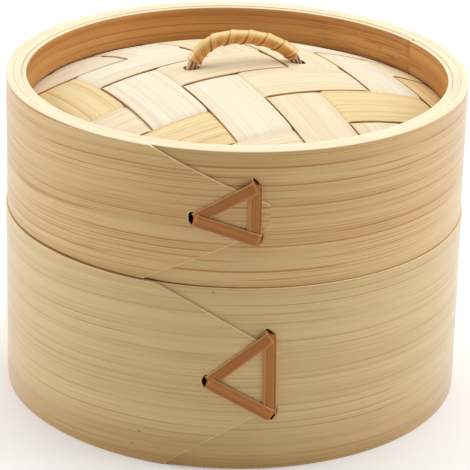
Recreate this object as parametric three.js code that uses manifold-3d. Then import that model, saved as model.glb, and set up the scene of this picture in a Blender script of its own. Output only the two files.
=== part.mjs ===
// A small bamboo steamer: one tier with its domed, woven lid and a wrapped cane handle.
// Millimetres, +Z up. The object stands on z = 0 and the side with the laced laps faces -Y.
// Azimuth is measured in degrees from the front (-Y) towards +X.

import * as THREE from 'three';
import { mergeVertices } from 'three/addons/utils/BufferGeometryUtils.js';
import Module from 'manifold-3d';

const wasm = await Module();
wasm.setup();

// ---- driving dimensions ----

// Clearance between pieces that touch on the real steamer.
const FIT = 0.3;

// The basket's wall: one bamboo strip wound twice, with its tapered end lapped on top.
const BASKET = {
  height: 61.3,
  innerRadius: 70.15,
  ply: 2.35,
  tongue: { topRoot: -18.3, bottomRoot: -15.2, tip: 11, tipTop: 40.8, tipBottom: 22.4 },
  holes: [{ azimuth: -4.8, z: 30.2 }, { azimuth: 9, z: 45.6 }, { azimuth: 9.9, z: 19.1 }],
};

// The lid's wall: wound in the same way.
const LID = {
  bottom: 61.6,
  top: 105.5,
  innerRadius: 69.6,
  ply: 2.42,
  tongue: { topRoot: -20, bottomRoot: -21.4, tip: 8.4, tipTop: 88.8, tipBottom: 81.4 },
  holes: [{ azimuth: -8.8, z: 83.6 }, { azimuth: 4.8, z: 94.6 }, { azimuth: 5.8, z: 77.5 }],
};

// How both walls are wound. The strip starts thin, and steps out over its own start between two azimuths.
// Its lapped end is shaved thinner, and the tip is rounded. Bent strips have a facet every FACET_ANGLE
// degrees, with corners of their own no closer to those than LEAST_STEP.
const PLY_GAP = 0.15;
const WIND_START = -52;
const STEP = { from: -58, to: -12 };
const FACET_ANGLE = 6;
const LEAST_STEP = 0.9;
const LAP = { thickness: 0.9, thinFrom: -60, thinTo: -20, tipRound: 1.2, tipAngle: 1 };

// Retaining hoops inside the walls, each a strip bent round until its ends nearly meet.
const HOOP_GAP = 0.6;
const DENT = { depth: 0.8, from: -15, to: 15, ramp: 6 };
const BASKET_HOOP = { outer: 69.2, inner: 67.4, bottom: 17.6, top: 69.5, joint: 150 };
const FLOOR_RING = { outer: 69.8, inner: 65.3, bottom: 9.5, top: 15, joint: 210 };
const UPPER_HOOP = { outer: 69.3, inner: 68.1, bottom: 93.5, top: LID.top - FIT, joint: 122 };
const LOWER_HOOP = { outer: 69.3, inner: 67.9, bottom: 71, top: 90, joint: 200 };

// Floor of the basket.
const SLAT = { count: 9, width: 10.6, pitch: 14.6, thickness: 2, endRadius: 69.5 };
const BATTEN = { x: 32, width: 11, thickness: 3 };

// Cane lacing, threaded through three holes in each lap.
const LACE = {
  width: 4,
  thickness: 0.8,
  overrun: 1.3,
  leg: 1.4,
  legSides: 8,
  legInset: 0.1,
  drill: 2.1,
  drillSides: 12,
  drillFrom: 66,
  drillTo: 82,
  hiddenGap: 0.2,
  hiddenThickness: 0.45,
};

// The lid's dome and its 2/2 twill. reach is how many strips a strip crosses on either side of the first.
const DOME = { edge: 91.8, rise: 14.4, radius: 69.35, endRadius: 68.55 };
const WEAVE = {
  angle: 28,
  pitch: 19.5,
  strip: 18.7,
  thickness: 0.45,
  lift: 0.6,
  lipLift: 0.35,
  bend: 2.5,
  reach: 5,
  warpEdge: -25.3,
  weftEdge: -3.7,
};
const RIB = {
  offset: 29,
  width: 7,
  thickness: 1.2,
  upperDrop: 2.15,
  lowerDrop: 3.85,
  endRadius: 66.7,
  stations: 17,
};

// The handle, in its own frame: x along the line through its feet, z up.
const HANDLE = {
  x: 2.4,
  y: 3.7,
  turn: 17.7,
  axisZ: 101.85,
  footX: 18.3,
  arch: [
    [-17.8, 107.6],
    [-16.2, 110.4],
    [-13.7, 113.3],
    [-9.6, 115.4],
    [-4, 115.9],
    [2, 115.3],
    [7.6, 113.9],
    [12.2, 111.6],
    [15.4, 109.2],
    [16.8, 108],
  ],
  legTop: 105.2,
  coreRadius: 1.5,
  bend: 2,
  hookEnd: 12,
  wrapInner: 1.95,
  wrapOuter: 2.65,
  coreSteps: 44,
  wrapSteps: 26,
  sides: 8,
};
const SLOT = { length: 4.4, width: 5.6, height: 30 };

// Sides of the round tools that trim slats, strips and ribs to length.
const ROUND_SIDES = 72;

// ---- materials ----

const bamboo = { roughness: 0.6, metalness: 0 };
const materialOf = {
  basketWall: () => new THREE.MeshStandardMaterial({ color: 0xc9a878, ...bamboo }),
  lidWall: () => new THREE.MeshStandardMaterial({ color: 0xc4a274, ...bamboo }),
  hoop: () => new THREE.MeshStandardMaterial({ color: 0xd9b27a, ...bamboo }),
  slat: () => new THREE.MeshStandardMaterial({ color: 0xdcc08c, ...bamboo }),
  weave: () => new THREE.MeshStandardMaterial({ color: 0xf3ddb0, roughness: 0.55, metalness: 0 }),
  rib: () => new THREE.MeshStandardMaterial({ color: 0xd8b880, ...bamboo }),
  lace: () => new THREE.MeshStandardMaterial({ color: 0xa0693e, roughness: 0.5, metalness: 0 }),
  core: () => new THREE.MeshStandardMaterial({ color: 0xe6c58f, ...bamboo }),
  wrap: () => new THREE.MeshStandardMaterial({ color: 0xe9c48a, roughness: 0.45, metalness: 0 }),
};

// ---- small helpers ----

const radians = THREE.MathUtils.degToRad;
const clamp01 = (t) => THREE.MathUtils.clamp(t, 0, 1);

function onCylinder(target, azimuth, radius, z) {
  return target.set(radius * Math.sin(azimuth), -radius * Math.cos(azimuth), z);
}

// A strip bent into place: place(target, i, v, w) sets a point from its station i along the strip,
// v from 0 to 1 across it and w from 0 to 1 through it.
function bentStrip(place, stations, across = 1) {
  const geometry = new THREE.BoxGeometry(1, 1, 1, stations - 1, across, 1);
  const position = geometry.attributes.position;
  const target = new THREE.Vector3();
  for (let k = 0; k < position.count; k += 1) {
    const i = Math.round((position.getX(k) + 0.5) * (stations - 1));
    place(target, i, position.getY(k) + 0.5, position.getZ(k) + 0.5);
    position.setXYZ(k, target.x, target.y, target.z);
  }
  geometry.computeVertexNormals();
  return geometry;
}

// Evenly spaced numbers with extra knots between them, none closer than the given least step.
function stationsBetween(from, to, step, knots, least) {
  const count = Math.ceil((to - from) / step);
  const even = Array.from({ length: count + 1 }, (_, k) => from + ((to - from) * k) / count);
  const wanted = knots.filter((knot) => knot > from + least && knot < to - least);
  const kept = even.filter((a) => wanted.every((knot) => Math.abs(knot - a) > least));
  return [...kept, ...wanted].sort((a, b) => a - b);
}

function solidOf(geometry) {
  const bare = geometry.clone();
  bare.deleteAttribute('normal');
  bare.deleteAttribute('uv');
  const merged = mergeVertices(bare, 1e-4);
  return new wasm.Manifold(new wasm.Mesh({
    numProp: 3,
    vertProperties: new Float32Array(merged.attributes.position.array),
    triVerts: new Uint32Array(merged.index.array),
  }));
}

function geometryOf(solid) {
  const mesh = solid.getMesh();
  const geometry = new THREE.BufferGeometry();
  geometry.setAttribute('position', new THREE.BufferAttribute(mesh.vertProperties, 3));
  geometry.setIndex(new THREE.BufferAttribute(mesh.triVerts, 1));
  geometry.computeVertexNormals();
  return geometry;
}

function cut(geometry, tools) {
  return geometryOf(tools.reduce((solid, tool) => solid.subtract(tool), solidOf(geometry)));
}

// A round bar or drill along the radius at a hole.
function radialRod(hole, radius, from, to, sides) {
  const rod = new THREE.CylinderGeometry(radius, radius, to - from, sides);
  rod.translate(0, -(from + to) / 2, hole.z);
  rod.rotateZ(radians(hole.azimuth));
  return solidOf(rod);
}

function upright(radius, bottom, top, sides) {
  const cylinder = new THREE.CylinderGeometry(radius, radius, top - bottom, sides);
  cylinder.rotateX(Math.PI / 2);
  cylinder.translate(0, 0, (top + bottom) / 2);
  return solidOf(cylinder);
}

function mesh(name, geometry, material) {
  const piece = new THREE.Mesh(geometry, material);
  piece.name = name;
  return piece;
}

// ---- walls ----

const pitchOf = (wall) => wall.ply + PLY_GAP;
const wallOuter = (wall) => wall.innerRadius + pitchOf(wall) + wall.ply;
const lapOuter = (wall) => wall.innerRadius + 2 * pitchOf(wall) + LAP.thickness;

const stepOut = (azimuth) => clamp01((azimuth - STEP.from) / (STEP.to - STEP.from));

// Inner face of the wound strip: two turns, each stepping out as it laps the turn before.
function windRadius(wall, azimuth) {
  return wall.innerRadius + pitchOf(wall) * (stepOut(azimuth - 360) + stepOut(azimuth - 720));
}

// Thin at the start, then full, then shaved thinner again towards the lapped end.
function stripThickness(wall, azimuth) {
  const start = Math.min(wall.ply, pitchOf(wall) * stepOut(azimuth) - PLY_GAP);
  const thinned = clamp01((azimuth - 720 - LAP.thinFrom) / (LAP.thinTo - LAP.thinFrom));
  return start + (LAP.thickness - wall.ply) * thinned;
}

// Height of the lapped end's edge: level up to the root, then straight to the blunt, rounded tip.
function tongueEdge(azimuth, root, tip, rootZ, tipZ) {
  const along = clamp01((azimuth - root) / (tip - root));
  const inward = Math.sign(rootZ - tipZ);
  const round = azimuth >= tip - 1e-6 ? LAP.tipRound : 0;
  return rootZ + (tipZ - rootZ) * along - inward * round;
}

function woundWall(wall, bottom, top) {
  const { topRoot, bottomRoot, tip, tipTop, tipBottom } = wall.tongue;
  const end = tip + 720;
  const steps = [STEP.to, STEP.from + 360, STEP.to + 360, STEP.from + 720, STEP.to + 720];
  const thinning = [LAP.thinFrom + 720, LAP.thinTo + 720];
  const knots = [...steps, ...thinning, topRoot + 720, bottomRoot + 720, end - LAP.tipAngle];
  const azimuths = stationsBetween(WIND_START, end, FACET_ANGLE, knots, LEAST_STEP);
  const place = (target, i, v, w) => {
    const azimuth = azimuths[i];
    const low = tongueEdge(azimuth, bottomRoot + 720, end, bottom, tipBottom);
    const high = tongueEdge(azimuth, topRoot + 720, end, top, tipTop);
    const radius = windRadius(wall, azimuth) + w * stripThickness(wall, azimuth);
    onCylinder(target, radians(azimuth), radius, low + (high - low) * v);
  };
  const strip = bentStrip(place, azimuths.length);
  const { drill, drillFrom, drillTo, drillSides } = LACE;
  const drills = wall.holes.map((hole) => radialRod(hole, drill, drillFrom, drillTo, drillSides));
  return cut(strip, drills);
}

// A retaining hoop, pressed inwards a little where it passes the hidden side of the lacing.
function retainingHoop({ outer, inner, bottom, top, joint }, dent = DENT) {
  const half = THREE.MathUtils.radToDeg(HOOP_GAP / 2 / outer);
  const from = joint - 360 + half;
  const to = joint - half;
  const knots = [dent.from - dent.ramp, dent.from, dent.to, dent.to + dent.ramp];
  const azimuths = stationsBetween(from, to, FACET_ANGLE, knots, LEAST_STEP);
  const place = (target, i, v, w) => {
    const a = azimuths[i];
    const rise = clamp01((a - dent.from) / dent.ramp + 1);
    const fall = clamp01((dent.to - a) / dent.ramp + 1);
    const radius = inner + (outer - inner) * w - dent.depth * Math.min(rise, fall);
    onCylinder(target, radians(a), radius, bottom + (top - bottom) * v);
  };
  return bentStrip(place, azimuths.length);
}

// ---- lacing ----

// A flat run of cane between two holes, lying round the wall.
function laceRun(from, to, inner, outer) {
  const stations = 5;
  const radius = (inner + outer) / 2;
  const a = new THREE.Vector2(radians(from.azimuth) * radius, from.z);
  const b = new THREE.Vector2(radians(to.azimuth) * radius, to.z);
  const along = b.clone().sub(a).normalize();
  const across = new THREE.Vector2(-along.y, along.x);
  const length = a.distanceTo(b) + 2 * LACE.overrun;
  const start = a.clone().addScaledVector(along, -LACE.overrun);
  const place = (target, i, v, w) => {
    const point = start.clone().addScaledVector(along, (length * i) / (stations - 1));
    point.addScaledVector(across, (v - 0.5) * LACE.width);
    onCylinder(target, point.x / radius, inner + (outer - inner) * w, point.y);
  };
  return solidOf(bentStrip(place, stations));
}

function lacing(wall) {
  const face = lapOuter(wall) + FIT;
  const hiddenOuter = wall.innerRadius - LACE.hiddenGap;
  const hiddenInner = hiddenOuter - LACE.hiddenThickness;
  const { holes } = wall;
  let solid = null;
  holes.forEach((hole, k) => {
    const next = holes[(k + 1) % holes.length];
    const legFrom = hiddenInner + LACE.legInset;
    const leg = radialRod(hole, LACE.leg, legFrom, face + LACE.thickness / 2, LACE.legSides);
    const outside = laceRun(hole, next, face, face + LACE.thickness);
    const inside = laceRun(hole, next, hiddenInner, hiddenOuter);
    const strand = leg.add(outside).add(inside);
    solid = solid ? solid.add(strand) : strand;
  });
  return geometryOf(solid);
}

// ---- basket ----

function basketSlats() {
  const disc = upright(SLAT.endRadius, 0, BASKET.height, ROUND_SIDES);
  const bottom = FLOOR_RING.top + FIT;
  const first = (-SLAT.pitch * (SLAT.count - 1)) / 2;
  return Array.from({ length: SLAT.count }, (_, k) => {
    const slat = new THREE.BoxGeometry(2 * SLAT.endRadius, SLAT.width, SLAT.thickness);
    slat.translate(0, first + SLAT.pitch * k, bottom + SLAT.thickness / 2);
    return mesh(`slat_${k + 1}`, geometryOf(solidOf(slat).intersect(disc)), materialOf.slat());
  });
}

function battenBox(x, margin) {
  const height = BATTEN.thickness + margin;
  const top = FLOOR_RING.top + margin;
  const box = new THREE.BoxGeometry(BATTEN.width + 2 * margin, 2 * BASKET.innerRadius, height + margin);
  box.translate(x, 0, top - (height + margin) / 2);
  return solidOf(box);
}

function basketBattens() {
  const disc = upright(SLAT.endRadius, 0, BASKET.height, ROUND_SIDES);
  const batten = (name, x) => mesh(name, geometryOf(battenBox(x, 0).intersect(disc)), materialOf.slat());
  return [batten('batten_left', -BATTEN.x), batten('batten_right', BATTEN.x)];
}

function floorRing() {
  const flat = { ...DENT, depth: 0 };
  return cut(retainingHoop(FLOOR_RING, flat), [battenBox(-BATTEN.x, FIT), battenBox(BATTEN.x, FIT)]);
}

function basket() {
  const group = new THREE.Group();
  group.add(
    mesh('basket_outer_hoop', woundWall(BASKET, 0, BASKET.height), materialOf.basketWall()),
    mesh('basket_inner_hoop', retainingHoop(BASKET_HOOP), materialOf.hoop()),
    mesh('basket_floor_ring', floorRing(), materialOf.hoop()),
    mesh('basket_lacing', lacing(BASKET), materialOf.lace()),
    ...basketSlats(),
    ...basketBattens(),
  );
  return group;
}

// ---- woven dome ----

const domeHeight = (x, y) => DOME.edge + DOME.rise * (1 - (x * x + y * y) / DOME.radius ** 2);

// Warp strips run along the weave's own x and weft strips along its y, both turned by WEAVE.angle.
const warpIsOver = (warp, weft) => (((warp + weft) % 4) + 4) % 4 < 2;

// Stations along a strip that crosses the other family's strips, with its height over the dome at each.
function twillProfile(firstEdge, isOver) {
  const profile = [];
  const half = (WEAVE.pitch - WEAVE.strip) / 2;
  for (let cell = -WEAVE.reach; cell <= WEAVE.reach; cell += 1) {
    const edge = firstEdge + WEAVE.pitch * cell;
    const before = isOver(cell - 1) ? 1 : -1;
    const after = isOver(cell) ? 1 : -1;
    if (before === after) {
      profile.push({ at: edge, lift: after * WEAVE.lift });
    } else {
      profile.push({ at: edge - WEAVE.bend, lift: before * WEAVE.lift });
      profile.push({ at: edge - half, lift: before * WEAVE.lipLift });
      profile.push({ at: edge + half, lift: after * WEAVE.lipLift });
      profile.push({ at: edge + WEAVE.bend, lift: after * WEAVE.lift });
    }
  }
  return profile;
}

// One woven strip. alongX says which way it runs; centre is its place across the weave.
function wovenStrip(alongX, centre, profile, keep, slots) {
  const place = (target, i, v, w) => {
    const across = (v - 0.5) * WEAVE.strip;
    const x = alongX ? profile[i].at : centre - across;
    const y = alongX ? centre + across : profile[i].at;
    const z = domeHeight(x, y) + profile[i].lift + (w - 0.5) * WEAVE.thickness;
    target.set(x, y, z);
  };
  const strip = bentStrip(place, profile.length);
  strip.rotateZ(radians(WEAVE.angle));
  const clipped = solidOf(strip).intersect(keep);
  return geometryOf(slots.reduce((solid, slot) => solid.subtract(slot), clipped));
}

// The two holes that the handle's legs pass through, wide enough for it to lean.
function handleSlots() {
  return [-1, 1].map((side) => {
    const slot = new THREE.BoxGeometry(SLOT.length, SLOT.width, SLOT.height);
    slot.translate(side * HANDLE.footX, 0, DOME.edge + DOME.rise);
    slot.rotateZ(radians(HANDLE.turn));
    slot.translate(HANDLE.x, HANDLE.y, 0);
    return solidOf(slot);
  });
}

function woven() {
  const keep = upright(DOME.endRadius, LID.bottom, DOME.edge + 2 * DOME.rise, ROUND_SIDES);
  const slots = handleSlots();
  const strips = [];
  for (let k = -3; k <= 4; k += 1) {
    const warpProfile = twillProfile(WEAVE.weftEdge, (cell) => warpIsOver(k, cell));
    const warpCentre = WEAVE.warpEdge + WEAVE.pitch * (k + 0.5);
    strips.push(mesh(
      `lid_warp_strip_${k + 4}`,
      wovenStrip(true, warpCentre, warpProfile, keep, slots),
      materialOf.weave(),
    ));
  }
  for (let k = -4; k <= 3; k += 1) {
    const weftProfile = twillProfile(WEAVE.warpEdge, (cell) => !warpIsOver(cell, k));
    const weftCentre = WEAVE.weftEdge + WEAVE.pitch * (k + 0.5);
    strips.push(mesh(
      `lid_weft_strip_${k + 5}`,
      wovenStrip(false, weftCentre, weftProfile, keep, slots),
      materialOf.weave(),
    ));
  }
  return strips;
}

// A bowed rib under the dome, its ends sprung against the lower hoop.
function domeRib(alongX, offset, drop) {
  const { stations } = RIB;
  const place = (target, i, v, w) => {
    const along = LID.innerRadius * ((2 * i) / (stations - 1) - 1);
    const across = (v - 0.5) * RIB.width;
    const x = alongX ? along : offset - across;
    const y = alongX ? offset + across : along;
    target.set(x, y, domeHeight(x, y) - drop + (w - 0.5) * RIB.thickness);
  };
  const rib = bentStrip(place, stations);
  rib.rotateZ(radians(WEAVE.angle));
  return geometryOf(solidOf(rib).intersect(upright(RIB.endRadius, LID.bottom, LID.top, ROUND_SIDES)));
}

function lid() {
  const group = new THREE.Group();
  group.add(
    mesh('lid_outer_hoop', woundWall(LID, LID.bottom, LID.top), materialOf.lidWall()),
    mesh('lid_upper_hoop', retainingHoop(UPPER_HOOP), materialOf.hoop()),
    mesh('lid_lower_hoop', retainingHoop(LOWER_HOOP), materialOf.hoop()),
    mesh('lid_lacing', lacing(LID), materialOf.lace()),
    ...woven(),
    mesh('lid_rib_front', domeRib(true, -RIB.offset, RIB.upperDrop), materialOf.rib()),
    mesh('lid_rib_back', domeRib(true, RIB.offset, RIB.upperDrop), materialOf.rib()),
    mesh('lid_rib_left', domeRib(false, -RIB.offset, RIB.lowerDrop), materialOf.rib()),
    mesh('lid_rib_right', domeRib(false, RIB.offset, RIB.lowerDrop), materialOf.rib()),
  );
  return group;
}

// ---- handle ----

// The arch between the two feet, steeper on the left.
function archPoints() {
  return HANDLE.arch.map(([x, z]) => new THREE.Vector3(x, 0, z));
}

// Each leg ends in a hook that lies along the line through both feet, under the dome.
function hookPoints(side) {
  const { footX, bend, axisZ, hookEnd } = HANDLE;
  const points = [new THREE.Vector3(side * hookEnd, 0, axisZ)];
  for (let degrees = 0; degrees <= 90; degrees += 30) {
    const a = radians(degrees);
    const x = footX - bend + bend * Math.sin(a);
    const z = axisZ + bend - bend * Math.cos(a);
    points.push(new THREE.Vector3(side * x, 0, z));
  }
  return points;
}

function pathOf(points) {
  return new THREE.CatmullRomCurve3(points, false, 'centripetal');
}

function ringShape(radius, sides, hole) {
  const circle = (r) => Array.from({ length: sides }, (_, k) => {
    const a = (2 * Math.PI * k) / sides;
    return new THREE.Vector2(r * Math.cos(a), r * Math.sin(a));
  });
  const shape = new THREE.Shape(circle(radius));
  if (hole) {
    shape.holes.push(new THREE.Path(circle(hole)));
  }
  return shape;
}

function alongPath(shape, path, steps) {
  return new THREE.ExtrudeGeometry(shape, { steps, extrudePath: path, bevelEnabled: false });
}

function handle() {
  const { footX, legTop, sides } = HANDLE;
  const legs = [-footX, footX].map((x) => new THREE.Vector3(x, 0, legTop));
  const corePath = pathOf([...hookPoints(-1), legs[0], ...archPoints(), legs[1], ...hookPoints(1).reverse()]);
  const wrapPath = pathOf(archPoints());
  const core = ringShape(HANDLE.coreRadius, sides);
  const wrap = ringShape(HANDLE.wrapOuter, sides, HANDLE.wrapInner);
  const group = new THREE.Group();
  group.position.set(HANDLE.x, HANDLE.y, 0);
  group.rotation.z = radians(HANDLE.turn);
  group.add(
    mesh('handle_core', alongPath(core, corePath, HANDLE.coreSteps), materialOf.core()),
    mesh('handle_wrap', alongPath(wrap, wrapPath, HANDLE.wrapSteps), materialOf.wrap()),
  );
  return group;
}

// ---- the whole steamer ----

// The laced laps stand proud at the front only, so the walls' axis lies a little behind the origin.
const frontReach = lapOuter(BASKET) + FIT + LACE.thickness;
const backReach = wallOuter(BASKET);

const steamer = new THREE.Group();
steamer.name = 'bamboo_steamer';
steamer.position.y = (frontReach - backReach) / 2;
steamer.add(basket(), lid(), handle());

export default steamer;
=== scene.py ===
"""A bamboo steamer with a woven lid: the looks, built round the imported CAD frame.

Shapes are worked out in millimetres about the walls' own axis, and placed in the frame's metres by loft().
Azimuth is in degrees from the front (-Y) towards +X.
"""

import math

import bpy
import numpy as np
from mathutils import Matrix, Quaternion, Vector


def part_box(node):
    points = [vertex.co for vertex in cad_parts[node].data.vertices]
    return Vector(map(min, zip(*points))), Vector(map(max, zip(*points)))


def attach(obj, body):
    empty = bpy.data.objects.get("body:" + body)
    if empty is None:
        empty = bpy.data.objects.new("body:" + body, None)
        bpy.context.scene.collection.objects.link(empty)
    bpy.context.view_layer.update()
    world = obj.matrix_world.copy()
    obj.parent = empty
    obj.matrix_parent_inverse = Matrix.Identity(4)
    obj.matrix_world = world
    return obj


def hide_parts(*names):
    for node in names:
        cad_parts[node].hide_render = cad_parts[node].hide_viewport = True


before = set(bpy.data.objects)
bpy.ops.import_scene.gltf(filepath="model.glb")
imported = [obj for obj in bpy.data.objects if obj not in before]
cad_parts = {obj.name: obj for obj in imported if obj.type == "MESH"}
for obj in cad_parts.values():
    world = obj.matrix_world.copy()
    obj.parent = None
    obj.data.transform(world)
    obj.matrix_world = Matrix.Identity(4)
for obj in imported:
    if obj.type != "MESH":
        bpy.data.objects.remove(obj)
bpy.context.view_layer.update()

# ---- sizes from the frame ----

MM = 0.001
RANDOM = np.random.default_rng(7)


def box_mm(node):
    """Lowest and highest corner of a CAD node in millimetres, as arrays."""
    low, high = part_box(node)
    return np.array(low) / MM, np.array(high) / MM


RING_LOW, RING_HIGH = box_mm("basket_floor_ring")
AXIS_Y = (RING_LOW[1] + RING_HIGH[1]) / 2
BASKET_LOW, BASKET_HIGH = box_mm("basket_outer_hoop")
LID_LOW, LID_HIGH = box_mm("lid_outer_hoop")

# How both walls are wound, as in the CAD model: the strip starts thin, and steps out over its own start
# between two azimuths. The gap that the CAD leaves between plies is filled up to the gap that is shown.
WIND_START = -52.0
STEP_FROM = -58.0
STEP_TO = -12.0
PLY_GAP = 0.15
SHOWN_GAP = 0.04
THINNEST = 0.12

# The walls. A tongue edge has the azimuth of its root, its height at the tip and the power that bows it.
# The holes are where the lacing dives in: left, top right and bottom right. slits gives each hole's shift
# past the cane that ends in it, and half its width and length. pull draws the right run's lower end in.
BASKET = {
    "low": BASKET_LOW[2],
    "high": BASKET_HIGH[2],
    "inner": 70.15,
    "ply": 2.35,
    "tongue": {"top": (-18.3, 40.0, 1.19), "bottom": (-15.2, 22.6, 0.88), "tip": 11.3},
    "holes": [(-4.8, 30.2), (9.0, 45.6), (9.9, 19.1)],
    "slits": [(1.0, 1.25, 2.15), (0.6, 0.8, 2.2), (0.85, 1.1, 2.1)],
    "pull": -0.5,
}
LID = {
    "low": LID_LOW[2],
    "high": LID_HIGH[2],
    "inner": 69.6,
    "ply": 2.42,
    "tongue": {"top": (-20.0, 88.8, 1.0), "bottom": (-21.4, 81.4, 0.94), "tip": 8.4},
    "holes": [(-8.8, 83.6), (4.8, 94.6), (6.0, 77.5)],
    "slits": [(1.0, 1.2, 2.15), (0.6, 0.75, 2.1), (0.35, 0.75, 1.9)],
    "pull": -1.2,
}

# The lapped end is shaved to LAP_THICKNESS between two azimuths, and its blunt tip is rounded.
LAP_THICKNESS = 0.85
LAP_THIN_FROM = -60.0
LAP_THIN_TO = -20.0
TIP_ROUNDING = 0.6

# Corner radius of the wall's and the hoops' strips, and the azimuth step between rings of points.
STRIP_CORNER = 0.25
WALL_STEP = 1.5
HOOP_STEP = 1.8

# How far along the grain a strip starts for each unit of its own place, so that no two look alike.
HOOP_GRAIN = 7
WEAVE_GRAIN = 11
FLOOR_GRAIN = 13

# The lacing's three runs, from the left hole round, and how far the wall is chamfered round its holes.
LACE_WIDTHS = (3.9, 4.4, 4.0)
LACE_THICKNESS = 0.55
HIDDEN_THICKNESS = 0.45
HIDDEN_OVERRUN = 1.3
# Each outside run dives in LACE_LEG from its hole's middle with this bend, down to LACE_DEPTH under the face,
# and lies straight from LACE_STRAIGHT on. The hidden runs lie this far inside the wall.
LACE_LEG = 0.15
LACE_BEND = 1.1
LACE_DEPTH = -4.5
LACE_STRAIGHT = 1.6
HIDDEN_INSET = 0.95
LIP = 0.46

# Each inner hoop: where its ends meet, its outer radius and thickness, how far the lacing presses it in,
# and the height above which it doesn't.
HOOPS = {
    "basket_inner_hoop": {"joint": 150, "outer": 69.2, "thick": 1.8, "pressed": 0.8, "level": 50},
    "basket_floor_ring": {"joint": 210, "outer": 69.8, "thick": 4.5, "pressed": 0.0, "level": 50},
    "lid_upper_hoop": {"joint": 122, "outer": 69.57, "thick": 1.47, "pressed": 1.1, "level": 97},
    "lid_lower_hoop": {"joint": 200, "outer": 69.3, "thick": 1.4, "pressed": 0.8, "level": 97},
}
DENT = {"from": -21, "to": 22, "ramp": 7, "fade": 5.0}
JOINT_GAP = 0.15

# The floor: the radius that its strips end at, and the room that the battens have in the floor ring.
SLAT_COUNT = 9
FLOOR_END = 69.5
FLOOR_CORNER = 0.45
NOTCH_SIDE = 0.6
NOTCH_BELOW = 0.3
NOTCH_HEIGHT = 2

# The dome's middle surface stands rise over its edge. angle turns the warp from +X, warp_edge and weft_edge
# are where each family's strip 0 begins, and end is the radius of the strips' cut ends. A strip goes lift
# over or under the dome, changes sides within bend, and is crowned along its middle.
DOME = {"edge": 91.8, "rise": 14.4, "radius": 69.35}
WEAVE = {
    "angle": math.radians(28),
    "pitch": 19.5,
    "strip": 19.15,
    "thickness": 0.45,
    "lift": 0.6,
    "bend": 4.0,
    "crown": 0.15,
    "end": 68.5,
    "warp_edge": -25.3,
    "weft_edge": -3.7,
    "rings": 150,
}
# Only strips whose centre line is nearer to the dome's middle than this can meet the handle's legs.
NEAR_HANDLE = 30
# Each rib's side, whether it runs along the warp, its place across the weave and its depth under the dome.
RIBS = [
    ("front", True, -29.0, 2.15),
    ("back", True, 29.0, 2.15),
    ("left", False, -29.0, 3.85),
    ("right", False, 29.0, 3.85),
]
RIB_END = 66.7
RIB_WIDTH = 7.0
RIB_THICKNESS = 1.2

# The handle in its own frame: x along the line through its feet. arch is its centre line from left to right.
HANDLE = {
    "x": 2.4,
    "y": 3.7,
    "turn": math.radians(17.7),
    "foot": 18.3,
    "leg_top": 105.2,
    "arch": [(-17.8, 107.6), (-16.2, 110.4), (-13.7, 113.3), (-9.6, 115.4), (-4, 115.9),
             (2, 115.3), (7.6, 113.9), (12.2, 111.6), (15.4, 109.2), (16.8, 108)],
    "hook_z": 101.85,
    "hook_end": 12.0,
    "hook_bend": 2.0,
}

# Its three flat strands: how far each is outside the centre line, how much further it splays at the left
# foot, its width and where its grain starts.
STRANDS = [(-0.95, -0.6, 1.9, 5.0), (0.0, 0.05, 2.5, 83.0), (0.95, 0.55, 1.9, 161.0)]
STRAND_THICKNESS = 0.7
# The height at which the splay begins, going down, and the height it takes.
SPLAY_TOP = 109
SPLAY_HEIGHT = 4

# The cane wound round them. start is its turn at the left end in radians, raised is how far a turn stands
# over the one before, bow is its crown, and the trims are how far its ends stop short of the arch's. slant
# takes the left one a little higher on the inside of the arch, clear of the weave.
WRAP_SHAPE = {
    "inner": 1.85,
    "width": 8.2,
    "thickness": 0.32,
    "corner": 0.12,
    "winds": 6.6,
    "start": 4.1,
    "raised": 0.36,
    "bow": 0.1,
    "left_trim": 1.25,
    "right_trim": 0.4,
    "slant": 0.15,
    "rings_per_wind": 30,
}
# Length of the wound cane for each radian round the core.
WRAP_RUN = 2.1

# The slots for the handle's legs: half their length and width, how far inside the feet they are, the power
# that squares their ends, and how high the cutter reaches.
SLOT = {"length": 2.45, "width": 2.3, "inward": 0.2, "power": 0.45, "height": 30}

# ---- materials ----

# Noises of the grain: features per metre along and across the strip, and the levels between which each
# takes effect.
TONE = dict(along=3.0, across=240.0, low=0.34, high=0.66, detail=3.0, roughness=0.6)
BUNDLE_PATCHES = dict(along=16.0, across=210.0, low=0.42, high=0.6)
FINE_PATCHES = dict(along=20.0, across=130.0, low=0.4, high=0.6)
WARM_STREAKS = dict(along=2.0, across=420.0, low=0.6, high=0.78, detail=1.0)
FLECK_PATCHES = dict(along=29.0, across=31.0, low=0.68, high=0.7)
CUT_TONE = dict(along=25.0, across=300.0, low=0.4, high=0.75, detail=3.0)
SHORT_SCRATCHES = dict(along=90.0, across=2200.0, low=0.56, high=0.7)
LONG_SCRATCHES = dict(along=16.0, across=760.0, low=0.56, high=0.66)

# The finest noises, on broad faces and on cut edges, and the levels between which the first one works.
FIBRE = dict(along=40.0, across=2600.0, detail=3.0, roughness=0.65)
CUT_FIBRE = dict(along=60.0, across=2600.0)
FIBRE_LOW = 0.3
FIBRE_HIGH = 0.7

# Lines along the strip: about rate of them to the metre, which drawn-out noise makes wander by count lines.
BUNDLES = dict(along=1.0, across=150.0, count=1.6, rate=350.0)
FINE_BUNDLES = dict(along=1.6, across=300.0, count=1.5, rate=780.0)
# Strengths of the pale and the fine lines as shares of the dark ones'.
LIGHT_LINES = 0.6
FINE_LINES = 0.62

# Flecks sit in some cells of a grid, so many to the metre, and fade in between two distances in cells.
FLECK_GRID = (55.0, 75.0, 1.0)
FLECK_EDGE = (0.035, 0.015)

# How far the finest fibres darken or lighten the colour and change the roughness, and how deep the relief is.
FIBRE_SHADE = (0.92, 1.05)
FIBRE_ROUGHNESS = (-0.07, 0.08)
RELIEF_DEPTH = 0.00012
CUT_RELIEF_DEPTH = 0.0001

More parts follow.
